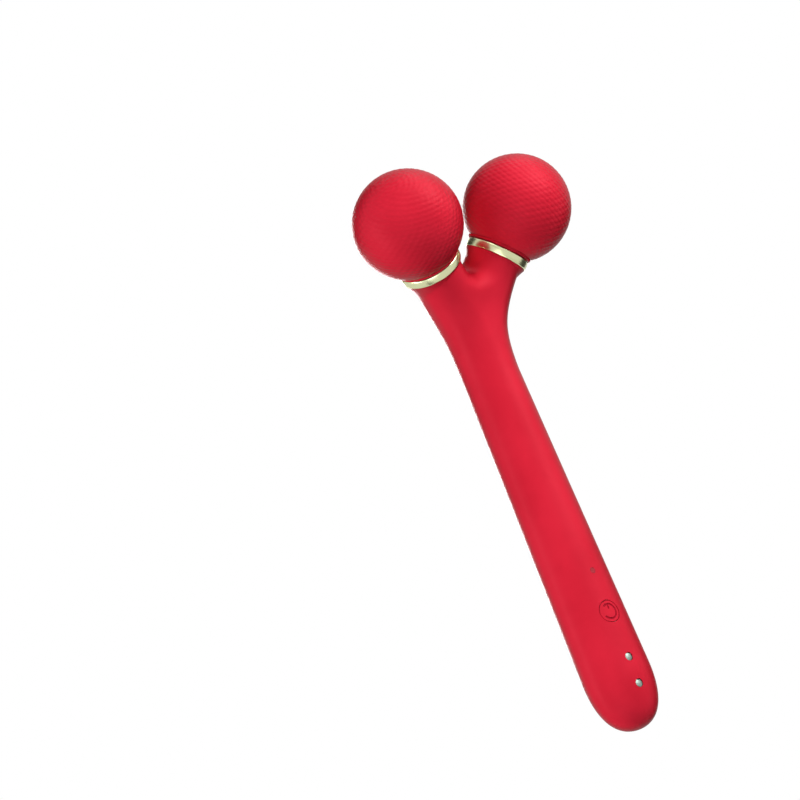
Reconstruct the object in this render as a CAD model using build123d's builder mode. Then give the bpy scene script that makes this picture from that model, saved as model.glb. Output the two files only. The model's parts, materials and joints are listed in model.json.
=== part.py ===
"""Hand-held face roller: a bent, forked handle with two free-turning balls.

The device lies as it is put down: on its two balls and the tail of the handle, with its
button side to the floor. +Y runs from the tail to the balls, +X is to the right of that and
+Z is up. Every piece is laid out in the device's own frame first: x across, y to the button
side (the front), z along the handle from the tip of the tail.
"""
from build123d import *
from math import asin, cos, radians, sin, sqrt, tan
import os

os.makedirs("parts", exist_ok=True)

# ---------------------------------------------------------------- driving dimensions (mm)
# handle: an oval bar, widest near the tail, that thins to a round neck
handle_width = 20.9
handle_depth = 16.4
tail_length = 16.0            # length of the rounded end
tail_fullness = 0.64          # 0.55 would make the end half an ellipsoid, 1 would square it
neck_diameter = 16.1
neck_station = 106.0          # where the straight handle ends and the head begins

# head: it leans to the front and forks into two arms
head_bend = 36.3              # lean of the head against the handle, degrees
knee_station = 127.9          # where the middle plane of the head meets the handle's axis
fork_drop = 5.4               # the arms' axes meet this far below the knee
splay = 30.7                  # each arm against the middle of the head, degrees
arm_reach = 37.85             # from where the arms' axes meet to a ball's centre
arm_waist = 14.0              # width of an arm where it is narrowest
flare_start = -9.0            # where the flanks begin to spread, from their corner
flare_pull = 1.5              # how far the corner of each flank is drawn out
bend_pull = 3.6               # how far the corner of the bend is drawn out
bend_reach = 11.0             # where the bend has died out, along the head from its corner
crotch_radius = 3.4
rounding = 7.9                # rolling round of the head's outer edges
crotch_rounding = 5.8         # rolling round of the edges between the arms
overrun = 2.0                 # extra length the arms are drawn with before they are cut

# skin and housing
sleeve_wall = 1.2
bond_line = 0.05              # film of adhesive between glued pieces
housing_wall = 1.4
cavity_end = 118.2

# balls
ball_diameter = 31.0
cover_wall = 1.5
core_wall = 1.5
base_drop = 12.9              # flat base of the ball, measured from its centre
base_round = 0.3
skirt_diameter = 18.7         # short straight rim of the ball above its base
cover_lip_bore = 10.0
hub_diameter = 8.4

lip_diameter = 24.5
lip_wall = 1.0
lip_height = 1.6
lip_root = 3.2

# collars and the ends of the arms
collar_diameter = 18.3
collar_height = 2.5
collar_plate = 0.7
collar_edge = 0.45
spigot_diameter = 14.0        # of the housing's end in the collar
spigot_root = 0.7             # how far it reaches back into the arm
collar_gap = 0.3              # running gap between the collar and the ball
arm_flare_length = 9.0        # length of an arm's flared end
arm_flare_root = 13.4         # diameter that the flared end would have inside the arm
arm_end_diameter = 18.0

# axles, bushes and what retains the balls
axle_diameter = 3.0
shoulder_diameter = 4.2
axle_root = 28.0              # inner end of the axle, measured from the ball's centre
axle_flange_diameter = 7.0
axle_flange_thickness = 1.6
axle_flange_drop = 22.4
running_fit = 0.03            # radial clearance of a turning fit
slip_fit = 0.05               # radial clearance of a fixed fit
bush_diameter = 5.0
bush_length = 4.0
bush_flange_diameter = 6.4
bush_flange = 0.6
bush_offset = 6.4             # seat of the outer bush, measured from the ball's centre
end_play = 0.1
washer_diameter = 6.4
washer_thickness = 0.5
end_screw_diameter = 2.0
end_screw_length = 5.0
end_screw_head = 4.2
end_screw_head_height = 1.3
seal_diameter = 5.9
seal_height = 1.0

# front controls
contact_pitch = 7.62
contact_first = 10.82         # station of the contact nearest the tail
contact_diameter = 2.3
contact_flange = 3.2
contact_flange_thickness = 0.6
contact_sink = 0.25           # the flat faces of the contacts lie this far below the skin
key_station = 31.9
key_diameter = 6.1
key_gap = 0.2
key_sink = 0.1
key_flange_diameter = 7.6
key_flange = 0.5
key_nub_diameter = 1.8
key_nub_height = 0.3
key_travel = 0.35
light_station = 44.0
light_diameter = 1.6
light_flange = 2.6
light_flange_thickness = 0.5

# electronics
board_width = 10.0
board_length = 40.0
board_start = 6.5
board_thickness = 1.0
board_front = 3.2             # depth of the board's front face from the handle's axis
board_nose = 4.0
ledge_width = 4.0
ledge_length = 2.4
ledge_bite = 0.9
ledge_stations = (22.0, 26.0, 39.0)
prop_stations = (19.0, 36.0)
# parts on the back of the board: x, station, width, length, height
components = (
    (0.0, 13.0, 3.0, 3.0, 0.9),
    (-1.9, 18.6, 2.5, 2.0, 1.2),
    (1.6, 23.5, 4.0, 4.0, 1.0),
    (-2.4, 28.6, 3.0, 3.0, 1.4),
    (1.8, 31.6, 1.6, 3.2, 0.8),
)
switch_size = 4.2
switch_breadth = 3.2
switch_height = 0.8
switch_button = 1.6
switch_button_height = 0.25
led_length = 1.6
led_breadth = 0.8
led_height = 0.6
magnet_width = 5.0
magnet_length = 1.9
magnet_thickness = 1.2
magnet_depth = 5.2            # front face of the magnets from the handle's axis
cell_diameter = 8.0
cell_length = 42.0
cell_start = 52.2
cell_edge = 0.5
pad_diameter = 10.6
pad_length = 5.0
pad_inset = 5.0               # from the cell's end to the near face of a pad
pad_flat = 8.8
lead_diameter = 0.8
lead_bend = 1.2
cell_lead_spread = 3.0        # leads of the cell, from the middle
motor_lead_spread = 1.6       # leads of the motor, from the middle

# vibration motor
motor_diameter = 7.0
motor_length = 10.4
motor_start = 102.6
motor_shaft = 1.0
boot_diameter = 10.5
boot_length = 10.0
boot_start = 102.2
weight_radius = 3.0
weight_length = 3.5
weight_gap = 0.5
weight_hub = 2.2

# housing screws
post_diameter = 4.6
post_stations = (49.3, 97.0)
head_screw_station = 121.4
head_screw_drop = 1.9         # how far the bent back has come forward at that screw
screw_diameter = 1.7
screw_length = 9.0
screw_head = 3.2
screw_head_height = 1.1
screw_sink = 0.1

# ---------------------------------------------------------------- what follows from them
housing_inset = sleeve_wall + bond_line
cavity_inset = housing_inset + housing_wall
arm_end = base_drop + collar_gap + collar_height      # below the ball's centre
plate_low = base_drop + collar_gap + collar_plate
core_radius = ball_diameter / 2 - cover_wall - bond_line
core_base = base_drop - cover_wall
hub_top = bush_offset
axle_tip = bush_offset + bush_flange + end_play
shoulder_drop = core_base + end_play
contact_stations = (contact_first, contact_first + contact_pitch)
board_back = board_front - board_thickness
switch_top = board_front + switch_height
key_rest = switch_top + switch_button_height + slip_fit + key_travel
cell_end = cell_start + cell_length
hands = (("right", 1), ("left", -1))
curve_steps = 4000            # points of the tail's curve that are tried for its lowest one
halvings = 40                 # rounds of the searches below

# ---------------------------------------------------------------- how the device lies
ball_radius = ball_diameter / 2
bend = radians(head_bend)
fork = radians(splay)
ball_height = arm_reach * cos(fork) - fork_drop      # along the head, from the knee
ball_front = ball_height * sin(bend)
ball_station = knee_station + ball_height * cos(bend)


def tail_curve(u):
    """Half width of the rounded tail along its curve, from 0 at its tip to 1 where it is full."""
    return 3 * tail_fullness * (1 - u) ** 2 * u + 3 * (1 - u) * u ** 2 + u ** 3


def tail_support(down):
    """Reach of the rounded tail from its centre along a line turned by this angle."""
    return max(
        handle_depth / 2 * cos(down) * tail_curve(step / curve_steps)
        + tail_length * sin(down) * tail_curve(1 - step / curve_steps)
        for step in range(curve_steps + 1)
    )


tilt = 0.0
for _ in range(halvings):
    rise = ball_radius + ball_front * cos(tilt) - tail_support(tilt)
    tilt = asin(rise / (ball_station - tail_length))
tail_rise = tail_support(tilt) - tail_length * sin(tilt)
tail_end = tail_length * cos(tilt) - tail_support(radians(90) - tilt)
ball_end = ball_front * sin(tilt) + ball_station * cos(tilt) + ball_radius

device = Plane(
    origin=(0, -(tail_end + ball_end) / 2, tail_rise),
    x_dir=(1, 0, 0),
    z_dir=(0, cos(tilt), sin(tilt)),
)


# ---------------------------------------------------------------- planes of the device
def at(x, y, z):
    """A point of the device's own frame."""
    return device.from_local_coords(Vector(x, y, z))


def towards(x, y, z):
    """A direction of the device's own frame."""
    return at(x, y, z) - at(0, 0, 0)


def front_plane(depth, station):
    """A plane that faces the front, at this depth in front of the handle's axis."""
    return Plane(origin=at(0, depth, station), x_dir=towards(1, 0, 0), z_dir=towards(0, 1, 0))


side_plane = Plane(origin=at(0, 0, 0), x_dir=towards(0, 1, 0), z_dir=towards(1, 0, 0))
head_plane = Plane(
    origin=at(0, 0, knee_station),
    x_dir=towards(1, 0, 0),
    z_dir=towards(0, -cos(bend), sin(bend)),
)


def arm_plane(side, drop):
    """A section across an arm, this far below its ball's centre; side is 1 right, -1 left."""
    across = Vector(side * cos(fork), -sin(fork))
    along = Vector(side * sin(fork), cos(fork))
    middle = Vector(0, -fork_drop) + along * (arm_reach - drop)
    return Plane(
        origin=head_plane.from_local_coords(middle),
        x_dir=head_plane.from_local_coords(across) - head_plane.origin,
        z_dir=head_plane.from_local_coords(along) - head_plane.origin,
    )


def arm_profile(side):
    """The plane through an arm's axis: x is the radius, y the height over the ball's centre."""
    base = arm_plane(side, 0)
    return Plane(origin=base.origin, x_dir=base.x_dir, z_dir=base.x_dir.cross(base.z_dir))


def arm_axis(side):
    base = arm_plane(side, 0)
    return Axis(base.origin, base.z_dir)


# ---------------------------------------------------------------- outer form, at any depth
def half_oval(station, inset):
    """Half width and half depth of the handle at a station."""
    run = max(0.0, (station - tail_length) / (neck_station - tail_length))
    width = handle_width / 2 + (neck_diameter - handle_width) / 2 * run
    depth = handle_depth / 2 + (neck_diameter - handle_depth) / 2 * run
    share = 1.0
    if station < tail_length:
        low, high = 0.0, 1.0
        for _ in range(halvings):
            share = (low + high) / 2
            if tail_curve(1 - share) > (tail_length - station) / (tail_length - inset):
                low = share
            else:
                high = share
        share = tail_curve(share)
    return (width - inset) * share, (depth - inset) * share


def handle_form(inset, top):
    """The handle up to a station, shrunk all round by an inset; its tail is a full round."""
    width, depth = half_oval(tail_length, inset)
    with BuildPart() as tail:
        with BuildSketch(Plane.XZ):
            with BuildLine():
                Bezier((0, 0), (tail_fullness, 0), (1, 1 - tail_fullness), (1, 1))
                Polyline((1, 1), (0, 1), (0, 0))
            make_face()
        revolve(axis=Axis.Z)
        scale(by=(width, depth, tail_length - inset))
    with BuildPart() as form:
        add(device.offset(inset) * tail.part)
        for station in (tail_length, top):
            with BuildSketch(device.offset(station)):
                Ellipse(*half_oval(station, inset))
        loft()
    return form.part


def head_form(inset, beyond):
    """The bent, forked head with rounded edges, shrunk all round by an inset.

    Its arms stop on planes across them, beyond their ends by a given length.
    """
    half = neck_diameter / 2 - inset
    root = -arm_reach + fork_drop
    along = Vector(sin(fork), cos(fork))
    across = Vector(cos(fork), -sin(fork))
    fork_point = Vector(0, -fork_drop)
    arm_tip = fork_point + along * (arm_reach - arm_end + overrun)
    waist = arm_waist / 2 - inset
    outer_corner = fork_point + across * waist + along * ((half - waist * across.X) / along.X)
    inner_corner = fork_point + Vector(0, waist / sin(fork))
    outer_pull = outer_corner + along * flare_pull
    outer_tip = arm_tip + across * waist
    inner_tip = arm_tip - across * waist
    with BuildPart() as form:
        with BuildSketch(head_plane):
            with BuildLine():
                for side in (1, -1):
                    Bezier(
                        (side * half, root),
                        (side * half, outer_corner.Y + flare_start),
                        (side * half, outer_corner.Y + flare_start / 2),
                        (side * half, outer_corner.Y - flare_pull),
                        (side * outer_pull.X, outer_pull.Y),
                        (side * outer_tip.X, outer_tip.Y),
                    )
                    Line((side * outer_tip.X, outer_tip.Y), (side * inner_tip.X, inner_tip.Y))
                FilletPolyline(
                    (inner_tip.X, inner_tip.Y),
                    (0, inner_corner.Y),
                    (-inner_tip.X, inner_tip.Y),
                    radius=crotch_radius + inset,
                )
                Line((-half, root), (half, root))
            make_face()
        extrude(amount=2 * handle_width, both=True)
        with BuildSketch(side_plane):
            with BuildLine():
                low = neck_station - half
                tips = []
                for face in (1, -1):
                    corner = knee_station - face * half * tan(bend / 2)
                    tip = (face * half + arm_reach * sin(bend), corner + arm_reach * cos(bend))
                    Bezier(
                        (face * half, low),
                        (face * half, neck_station),
                        (face * half, corner - bend_pull),
                        (face * half + bend_pull * sin(bend), corner + bend_pull * cos(bend)),
                        (face * half + bend_reach * sin(bend), corner + bend_reach * cos(bend)),
                        tip,
                    )
                    tips.append(tip)
                Line(*tips)
                Line((half, low), (-half, low))
            make_face()
        extrude(amount=2 * handle_width, both=True, mode=Mode.INTERSECT)
        ends = [arm_plane(side, arm_end - overrun) for _, side in hands]
        edges = long_edges(form.edges(), low, ends)
        fillet([edge for edge in edges if between_arms(edge)], crotch_rounding - inset)
        edges = long_edges(form.edges(), low, ends)
        fillet([edge for edge in edges if not between_arms(edge)], rounding - inset)
        split(bisect_by=device.offset(neck_station), keep=Keep.TOP)
        for _, side in hands:
            split(bisect_by=arm_plane(side, arm_end - beyond), keep=Keep.BOTTOM)
    return form.part


def long_edges(edges, low, ends):
    """The edges that run along the head, without those of its end faces."""
    chosen = []
    for edge in edges:
        points = [edge @ 0, edge @ 0.5, edge @ 1]
        at_neck = all(abs(device.to_local_coords(p).Z - low) < 0.01 for p in points)
        at_end = any(all(abs(end.to_local_coords(p).Z) < 0.01 for p in points) for end in ends)
        run = (points[2] - points[0]).normalized()
        crosses = abs(run.X) > 0.999 or abs(run.dot(head_plane.z_dir)) > 0.999
        if not (at_neck or at_end or crosses):
            chosen.append(edge)
    return chosen


def between_arms(edge):
    """Whether an edge of the head lies on the crotch's side of an arm's axis."""
    middle = head_plane.to_local_coords(edge @ 0.5)
    return abs(middle.X) < (middle.Y + fork_drop) * tan(fork)


def flare_radius(drop):
    """Radius of an arm's flared end, this far below the ball's centre."""
    rise = (arm_end_diameter - arm_flare_root) / 2
    bow = (arm_flare_length ** 2 + rise ** 2) / (2 * rise)
    return arm_flare_root / 2 + bow - sqrt(bow ** 2 - (arm_end + arm_flare_length - drop) ** 2)


def body_form(inset, beyond):
    """The whole outer form, shrunk all round by an inset; the arms run on beyond their ends."""
    with BuildPart() as form:
        add(handle_form(inset, neck_station))
        add(head_form(inset, beyond))
        low = (arm_flare_root / 2 - inset, -arm_end - arm_flare_length)
        high = (flare_radius(arm_end - beyond) - inset, beyond - arm_end)
        for _, side in hands:
            with BuildSketch(arm_profile(side)):
                with BuildLine():
                    Polyline((0, high[1]), (0, low[1]), low)
                    TangentArc(low, high, tangent=(0, 1))
                    Line(high, (0, high[1]))
                make_face()
            revolve(axis=arm_axis(side))
    return form.part


def surface_depth(station, inset):
    """Depth of a shell's front line at a station."""
    return half_oval(station, inset)[1]


def finish(piece, label):
    """Name a finished piece and write it."""
    piece.part.label = label
    export_step(piece.part, f"parts/{label}.step")


# screws: station, and the depth of the face under the head behind the handle's axis
screw_seats = [
    (station, surface_depth(station, housing_inset) - screw_sink - screw_head_height)
    for station in post_stations
]
head_back = surface_depth(neck_station, housing_inset) - head_screw_drop
screw_seats.append((head_screw_station, head_back - screw_sink - screw_head_height))

# openings through the front: station, diameter
front_openings = [
    (key_station, key_diameter + 2 * key_gap),
    (light_station, light_diameter + 2 * slip_fit),
]
front_openings += [(station, contact_diameter + 2 * slip_fit) for station in contact_stations]

# ---------------------------------------------------------------- silicone sleeve
with BuildPart() as silicone_sleeve:
    add(body_form(0, 0))
    add(body_form(sleeve_wall, 1), mode=Mode.SUBTRACT)
    for station, diameter in front_openings:
        with BuildSketch(front_plane(board_front, station)):
            Circle(diameter / 2)
        extrude(amount=handle_depth, mode=Mode.SUBTRACT)
finish(silicone_sleeve, "silicone_sleeve")

# ---------------------------------------------------------------- hollow inside the housing
# What is taken out of this block stays standing in the housing: posts, ledges and props.
with BuildPart() as cavity:
    add(handle_form(cavity_inset, neck_station))
    with BuildSketch(device.offset(neck_station)):
        Ellipse(*half_oval(neck_station, cavity_inset))
    extrude(amount=cavity_end - neck_station)
    for station in post_stations:
        with BuildSketch(front_plane(-handle_depth, station)):
            Circle(post_diameter / 2)
        extrude(amount=2 * handle_depth, mode=Mode.SUBTRACT)
    ledge_middle = (board_width + ledge_width) / 2 - ledge_bite
    for station in ledge_stations:
        with BuildSketch(front_plane(board_front + slip_fit, station)):
            with Locations((ledge_middle, 0), (-ledge_middle, 0)):
                Rectangle(ledge_width, ledge_length)
        extrude(amount=handle_depth, mode=Mode.SUBTRACT)
    for station in prop_stations:
        with BuildSketch(front_plane(board_back - slip_fit, station)):
            with Locations((ledge_middle, 0), (-ledge_middle, 0)):
                Rectangle(ledge_width, ledge_length)
        extrude(amount=-handle_depth, mode=Mode.SUBTRACT)
    spot_faces = [(key_station, key_flange_diameter + 2 * key_gap)]
    spot_faces += [(light_station, light_flange + 2 * slip_fit)]
    spot_faces += [(station, contact_flange + 2 * slip_fit) for station in contact_stations]
    for station, diameter in spot_faces:
        with BuildSketch(front_plane(board_front, station)):
            Circle(diameter / 2)
        extrude(amount=surface_depth(station, cavity_inset) - board_front)

# ---------------------------------------------------------------- housing, before it is parted
with BuildPart() as housing:
    add(body_form(housing_inset, -bond_line))
    for _, side in hands:
        with BuildSketch(arm_plane(side, arm_end + spigot_root)):
            Circle(spigot_diameter / 2)
        extrude(amount=arm_end + spigot_root - plate_low - slip_fit)
    add(cavity.part, mode=Mode.SUBTRACT)
    for _, side in hands:
        with BuildSketch(arm_plane(side, axle_root + slip_fit)):
            Circle(shoulder_diameter / 2 + slip_fit)
        extrude(amount=axle_root, mode=Mode.SUBTRACT)
        with BuildSketch(arm_plane(side, axle_flange_drop + axle_flange_thickness + slip_fit)):
            Circle(axle_flange_diameter / 2 + slip_fit)
        extrude(amount=axle_flange_thickness + 2 * slip_fit, mode=Mode.SUBTRACT)
    for station, diameter in front_openings:
        with BuildSketch(front_plane(board_front, station)):
            Circle(diameter / 2)
        extrude(amount=handle_depth, mode=Mode.SUBTRACT)
    for station, back in screw_seats:
        with BuildSketch(front_plane(-back - slip_fit, station)):
            Circle(screw_diameter / 2 + slip_fit)
        extrude(amount=screw_length + 2 * slip_fit, mode=Mode.SUBTRACT)
        with BuildSketch(front_plane(-back, station)):
            Circle(screw_head / 2 + 2 * slip_fit)
        extrude(amount=-handle_depth, mode=Mode.SUBTRACT)

# the parting surface: the middle of the handle, then the middle plane of the head
with BuildPart() as front_half:
    with BuildSketch(side_plane):
        reach = 2 * arm_reach
        with BuildLine():
            Polyline(
                (0, -tail_length),
                (0, knee_station),
                (reach * sin(bend), knee_station + reach * cos(bend)),
                (reach * 2, knee_station),
                (reach * 2, -tail_length),
                close=True,
            )
        make_face()
    extrude(amount=2 * handle_width, both=True)

with BuildPart() as front_housing:
    add(housing.part)
    add(front_half.part, mode=Mode.INTERSECT)
finish(front_housing, "front_housing")

with BuildPart() as rear_housing:
    add(housing.part)
    add(front_half.part, mode=Mode.SUBTRACT)
finish(rear_housing, "rear_housing")

# ---------------------------------------------------------------- screws of the housing
with BuildPart() as housing_screws:
    for station, back in screw_seats:
        with BuildSketch(front_plane(-back, station)):
            Circle(screw_diameter / 2)
        extrude(amount=screw_length)
        with BuildSketch(front_plane(-back, station)):
            Circle(screw_head / 2)
        extrude(amount=-screw_head_height)
finish(housing_screws, "housing_screws")

# ---------------------------------------------------------------- board and what stands on it
board_middle = board_start + board_length / 2
with BuildPart() as main_board:
    with BuildSketch(front_plane(board_back, board_middle)) as outline:
        Rectangle(board_width, board_length)
        fillet(outline.vertices().group_by(Axis.Y)[-1], board_nose)
    extrude(amount=board_thickness)
finish(main_board, "main_board")

with BuildPart() as board_components:
    for x, station, width, length, height in components:
        with BuildSketch(front_plane(board_back, station)):
            with Locations((x, 0)):
                Rectangle(width, length)
        extrude(amount=-height)
finish(board_components, "board_components")

with BuildPart() as tact_switch:
    with BuildSketch(front_plane(board_front, key_station)):
        Rectangle(switch_size, switch_breadth)
    extrude(amount=switch_height)
    with BuildSketch(front_plane(switch_top, key_station)):
        Circle(switch_button / 2)
    extrude(amount=switch_button_height)
finish(tact_switch, "tact_switch")

with BuildPart() as status_led:
    with BuildSketch(front_plane(board_front, light_station)):
        Rectangle(led_length, led_breadth)
    extrude(amount=led_height)
finish(status_led, "status_led")

with BuildPart() as light_pipe:
    light_low = board_front + led_height + slip_fit
    light_seat = surface_depth(light_station, cavity_inset) - slip_fit
    with BuildSketch(front_plane(light_low, light_station)):
        Circle(light_diameter / 2)
    extrude(amount=surface_depth(light_station, 0) - light_low - slip_fit)
    with BuildSketch(front_plane(light_seat, light_station)):
        Circle(light_flange / 2)
    extrude(amount=-light_flange_thickness)
finish(light_pipe, "light_pipe")

with BuildPart() as charge_contacts:
    for station in contact_stations:
        with BuildSketch(front_plane(board_front, station)):
            Circle(contact_diameter / 2)
        extrude(amount=surface_depth(station, 0) - contact_sink - board_front)
        with BuildSketch(front_plane(surface_depth(station, cavity_inset) - slip_fit, station)):
            Circle(contact_flange / 2)
        extrude(amount=-contact_flange_thickness)
finish(charge_contacts, "charge_contacts")

with BuildPart() as charging_magnets:
    middle = contact_first + contact_pitch / 2
    for step in (-1, 1):
        with BuildSketch(front_plane(magnet_depth, middle + step * (magnet_length + slip_fit) / 2)):
            Rectangle(magnet_width, magnet_length)
        extrude(amount=-magnet_thickness)
finish(charging_magnets, "charging_magnets")

# ---------------------------------------------------------------- power key
with BuildPart() as power_key:
    key_seat = surface_depth(key_station, cavity_inset) - slip_fit
    with BuildSketch(front_plane(key_rest, key_station)):
        Circle(key_nub_diameter / 2)
    extrude(amount=key_seat - key_rest)
    with BuildSketch(front_plane(key_seat, key_station)):
        Circle(key_flange_diameter / 2)
    extrude(amount=-key_flange)
    with BuildSketch(front_plane(key_seat, key_station)):
        Circle(key_diameter / 2)
    extrude(amount=handle_depth)
    add(handle_form(key_sink, neck_station), mode=Mode.INTERSECT)
finish(power_key, "power_key")

# ---------------------------------------------------------------- battery
with BuildPart() as battery_cell:
    with BuildSketch(device.offset(cell_start)):
        Circle(cell_diameter / 2)
    extrude(amount=cell_length)
    fillet(battery_cell.edges().filter_by(GeomType.CIRCLE), cell_edge)
finish(battery_cell, "battery_cell")

with BuildPart() as battery_pads:
    for low in (cell_start + pad_inset, cell_end - pad_inset - pad_length):
        with BuildSketch(device.offset(low)):
            Circle(pad_diameter / 2)
            Rectangle(pad_flat, pad_diameter, mode=Mode.INTERSECT)
            Circle(cell_diameter / 2 + slip_fit, mode=Mode.SUBTRACT)
        extrude(amount=pad_length)
finish(battery_pads, "battery_pads")

# ---------------------------------------------------------------- vibration motor
with BuildPart() as motor_can:
    with BuildSketch(device.offset(motor_start)):
        Circle(motor_diameter / 2)
    extrude(amount=motor_length)
    with BuildSketch(device.offset(motor_start + motor_diameter / 2)):
        Circle(motor_shaft / 2 + slip_fit)
    extrude(amount=motor_length, mode=Mode.SUBTRACT)
finish(motor_can, "motor_can")

with BuildPart() as motor_boot:
    with BuildSketch(device.offset(boot_start)):
        Circle(boot_diameter / 2)
        Circle(motor_diameter / 2 + slip_fit, mode=Mode.SUBTRACT)
    extrude(amount=boot_length)
finish(motor_boot, "motor_boot")

weight_start = motor_start + motor_length + weight_gap
with BuildPart() as motor_rotor:
    with BuildSketch(device.offset(motor_start + motor_diameter / 2 + slip_fit)) as shaft:
        Circle(motor_shaft / 2)
    extrude(amount=weight_start + weight_length - motor_start - motor_diameter / 2 - slip_fit)
    with BuildSketch(device.offset(weight_start)):
        Circle(weight_radius)
        with Locations((0, -weight_radius)):
            Rectangle(2 * weight_radius, 2 * weight_radius, mode=Mode.SUBTRACT)
        Circle(weight_hub / 2)
    extrude(amount=weight_length)
finish(motor_rotor, "motor_rotor")


# ---------------------------------------------------------------- leads
def lead(points):
    """A round wire along straight runs with tangent arcs."""
    with BuildPart() as wire:
        with BuildLine() as route:
            FilletPolyline(*[at(*point) for point in points], radius=lead_bend)
        start = route.wire() ^ 0
        with BuildSketch(Plane(origin=start.position, z_dir=route.wire() % 0)):
            Circle(lead_diameter / 2)
        sweep(path=route.wire())
    return wire.part


joint_depth = board_back - lead_diameter / 2
with BuildPart() as battery_leads:
    for _, side in hands:
        add(lead([
            (side * cell_lead_spread, 0, cell_start),
            (side * cell_lead_spread, 0, cell_start - 3.2),
            (side * cell_lead_spread, joint_depth, cell_start - 7.4),
            (side * cell_lead_spread, joint_depth, cell_start - 10.4),
        ]))
finish(battery_leads, "battery_leads")

with BuildPart() as motor_leads:
    for _, side in hands:
        add(lead([
            (side * motor_lead_spread, 0, motor_start),
            (side * motor_lead_spread, 0, motor_start - 1.4),
            (side * 4.6, 0, motor_start - 4.4),
            (side * 4.9, 0, motor_start - 11.0),
            (side * 5.6, 0, cell_start + 2.0),
            (side * 5.4, joint_depth, cell_start - 6.0),
            (side * 4.5, joint_depth, cell_start - 13.0),
        ]))
finish(motor_leads, "motor_leads")


# ---------------------------------------------------------------- rollers and their arms
def ball_slice(side, radius, low, high):
    """A ball about a roller's centre, kept between two heights along the arm's axis."""
    with BuildPart(arm_plane(side, 0)) as ball:
        Sphere(radius)
        split(bisect_by=arm_plane(side, -low), keep=Keep.TOP)
        split(bisect_by=arm_plane(side, -high), keep=Keep.BOTTOM)
    return ball.part


def turned(side, profile):
    """A turned piece: its profile is a list of radius and height over the ball's centre."""
    with BuildPart() as piece:
        with BuildSketch(arm_profile(side)):
            with BuildLine():
                Polyline(*profile, close=True)
            make_face()
        revolve(axis=arm_axis(side))
    return piece.part


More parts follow.
